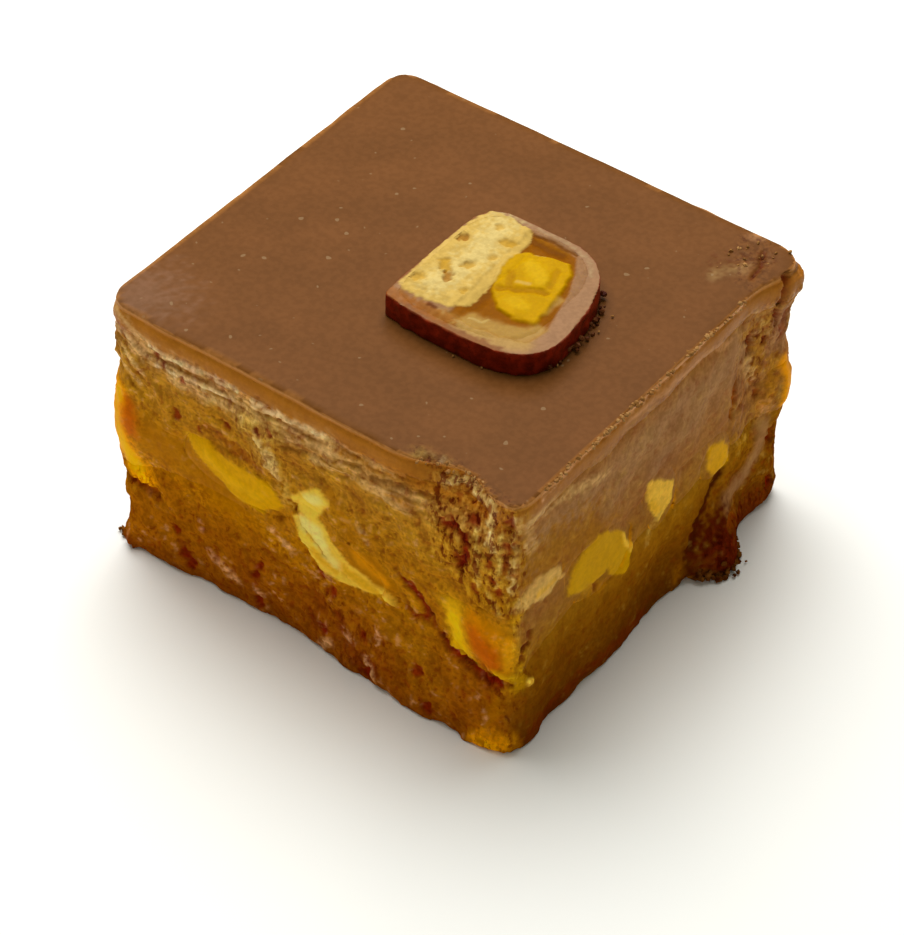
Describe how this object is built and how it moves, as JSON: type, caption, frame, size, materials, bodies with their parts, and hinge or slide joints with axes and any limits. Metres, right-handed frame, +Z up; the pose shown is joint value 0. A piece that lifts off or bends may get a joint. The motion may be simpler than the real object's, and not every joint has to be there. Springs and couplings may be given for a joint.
{
  "type": "fudge cube",
  "caption": "Cut square of layered chocolate fudge with a caramel and biscuit layer, smooth icing and a slice of coated biscuit bar on top.",
  "frame": {"origin": "middle of the square's flat foot, on the surface that it lies on", "axes": "+Z up through the layers, -Y out of the rough cut side at the picture's left, +X out of the smoother cut side at the picture's right"},
  "size_m": [0.0548, 0.0499, 0.0362],
  "materials": {
    "base_fudge": "dark crumbly fudge, cut by a knife, slightly oily",
    "upper_fudge": "smoother light brown fudge with knife smears",
    "icing": "smooth set milk chocolate, satin",
    "caramel": "sticky amber caramel, glossy",
    "side_caramel": "gold caramel lumps cut flush with the side",
    "side_biscuit": "pale biscuit pieces cut flush with the side",
    "bar_coat": "dark chocolate coat with a paler cut rim",
    "bar_biscuit": "pale baked biscuit with open pores",
    "bar_caramel": "amber caramel with golden lumps, glossy"
  },
  "bodies": {
    "root": {"base_fudge": "base_fudge", "upper_fudge": "upper_fudge", "caramel_layer": "caramel", "chocolate_icing": "icing", "slice_coat": "bar_coat", "slice_biscuit": "bar_biscuit", "slice_caramel": "bar_caramel", "caramel_piece_01": "side_caramel", "biscuit_piece_02": "side_biscuit", "biscuit_piece_03": "side_biscuit", "biscuit_piece_04": "side_biscuit", "caramel_piece_05": "side_caramel", "biscuit_piece_06": "side_biscuit", "caramel_piece_07": "side_caramel", "biscuit_piece_08": "side_biscuit", "caramel_piece_09": "side_caramel", "biscuit_piece_10": "side_biscuit", "caramel_piece_11": "side_caramel", "biscuit_piece_12": "side_biscuit"}
  },
  "joints": []
}
